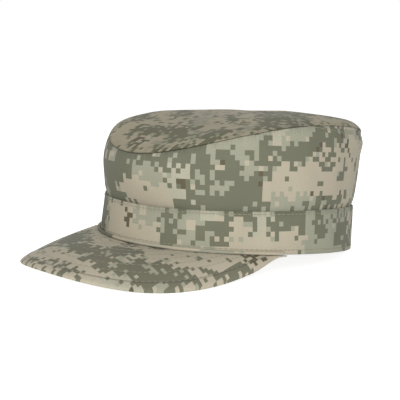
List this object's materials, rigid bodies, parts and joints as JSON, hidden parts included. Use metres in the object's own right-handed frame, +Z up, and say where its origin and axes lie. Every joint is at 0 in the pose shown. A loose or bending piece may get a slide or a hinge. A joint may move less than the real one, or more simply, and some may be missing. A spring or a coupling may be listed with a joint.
{
  "type": "patrol cap",
  "caption": "Soft patrol cap of camouflage cloth with a domed oval top, tall side wall, sewn band and stiff curved peak.",
  "frame": {"origin": "middle of the bounding box, on the table that the cap lies on", "axes": "-Y towards the front of the peak, +X towards the wearer's left, +Z up"},
  "size_m": [0.173, 0.2802, 0.1051],
  "materials": {
    "crown_cloth": "matt ripstop twill",
    "band_cloth": "matt ripstop twill",
    "visor_cloth": "matt ripstop twill over a stiffener",
    "welt_cloth": "rolled cloth piping"
  },
  "bodies": {
    "root": {"crown_top": "crown_cloth", "crown_side": "crown_cloth", "band": "band_cloth", "visor": "visor_cloth", "visor_welt": "welt_cloth"}
  },
  "joints": []
}
